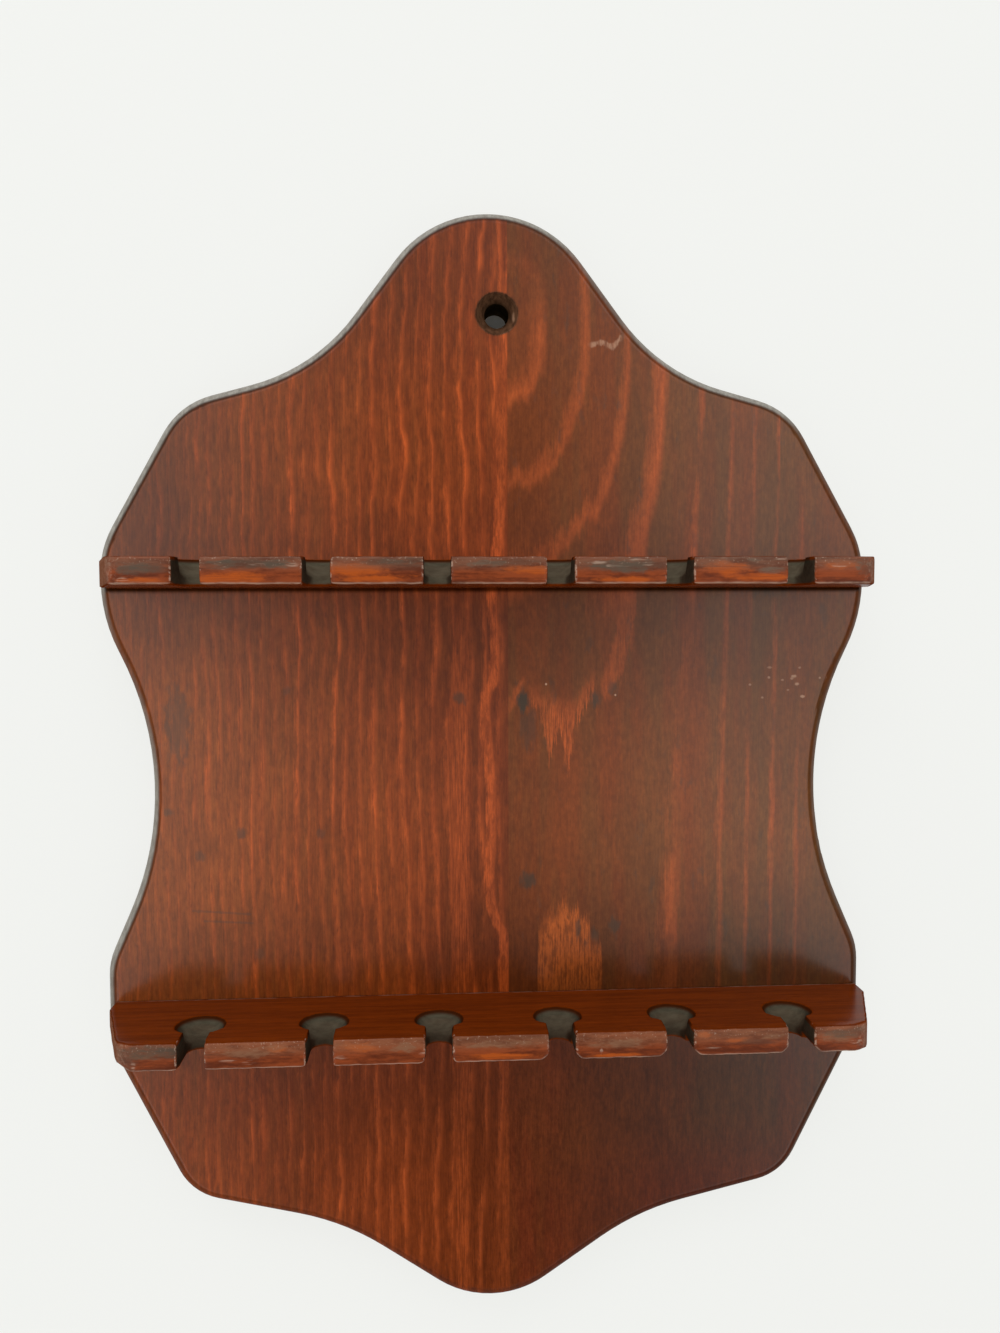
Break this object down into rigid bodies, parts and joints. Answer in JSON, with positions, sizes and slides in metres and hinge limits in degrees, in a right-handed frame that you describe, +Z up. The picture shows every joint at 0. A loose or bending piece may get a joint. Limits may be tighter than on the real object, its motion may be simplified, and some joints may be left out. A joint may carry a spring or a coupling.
{
  "type": "spoon rack",
  "caption": "Wall-hung wooden spoon rack: scalloped two-plank backboard with a hanging hole and keyhole-notched rails that hold small spoons by their necks.",
  "frame": {"origin": "axis of the hanging hole, at the backboard's back face", "axes": "+Z up the board, +X to the right seen from the front, +Y back into the wall"},
  "size_m": [0.203, 0.0407, 0.2917],
  "materials": {
    "plank_pine": "reddish brown stain under satin varnish",
    "rail_pine": "reddish brown stain, worn at the edges",
    "screw_steel": "dull steel"
  },
  "bodies": {
    "root": {"left_plank": "plank_pine", "right_plank": "plank_pine", "upper_rail": "rail_pine", "lower_rail": "rail_pine", "upper_rail_screw_1": "screw_steel", "upper_rail_screw_2": "screw_steel", "upper_rail_screw_3": "screw_steel", "upper_rail_screw_4": "screw_steel", "lower_rail_screw_1": "screw_steel", "lower_rail_screw_2": "screw_steel", "lower_rail_screw_3": "screw_steel", "lower_rail_screw_4": "screw_steel"}
  },
  "joints": []
}
